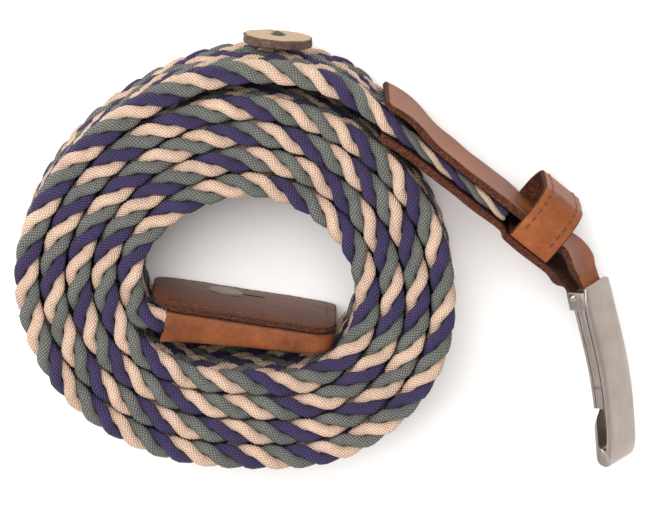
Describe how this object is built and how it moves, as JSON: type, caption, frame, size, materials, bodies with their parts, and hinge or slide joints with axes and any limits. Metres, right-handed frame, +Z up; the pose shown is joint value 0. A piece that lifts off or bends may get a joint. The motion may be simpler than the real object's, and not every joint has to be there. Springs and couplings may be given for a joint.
{
  "type": "woven belt",
  "caption": "Rolled-up woven cord belt lying on its side, with a leather strap and keeper, a hook that swings on its bar, a wooden button and a leather-capped end with a stud",
  "frame": {"origin": "Middle of the bounding box, on the plane that the rolled belt lies on", "axes": "+Z up along the coil's axis and across the belt's width, +X towards the strap with the hook, +Y towards the button"},
  "size_m": [0.143, 0.103, 0.03],
  "materials": {
    "braided_cord": "flat braid of cream, grey-green and purple cords",
    "brown_leather": "red-brown smooth leather with dark raw edges",
    "dark_leather": "darker brown waxed leather",
    "hook_metal": "satin nickel-plated casting",
    "stud_metal": "dull grey metal",
    "button_wood": "pale sanded wood with a dark bark edge",
    "sewing_thread": "grey-green waxed thread"
  },
  "bodies": {
    "belt": {"woven_band": "braided_cord", "buckle_strap": "brown_leather", "keeper_loop": "brown_leather", "button": "button_wood", "button_thread": "sewing_thread", "tip_shell": "dark_leather", "tip_cover": "dark_leather", "tip_stud": "stud_metal"},
    "hook": {"hook_buckle": "hook_metal"}
  },
  "joints": [
    {"name": "hook_swing", "type": "hinge", "parent": "belt", "child": "hook", "pos_m": [0.05933, -0.00961, 0.015], "axis": [-0.6209, -0.1664, 0.766], "range_deg": [-16, 10]}
  ]
}
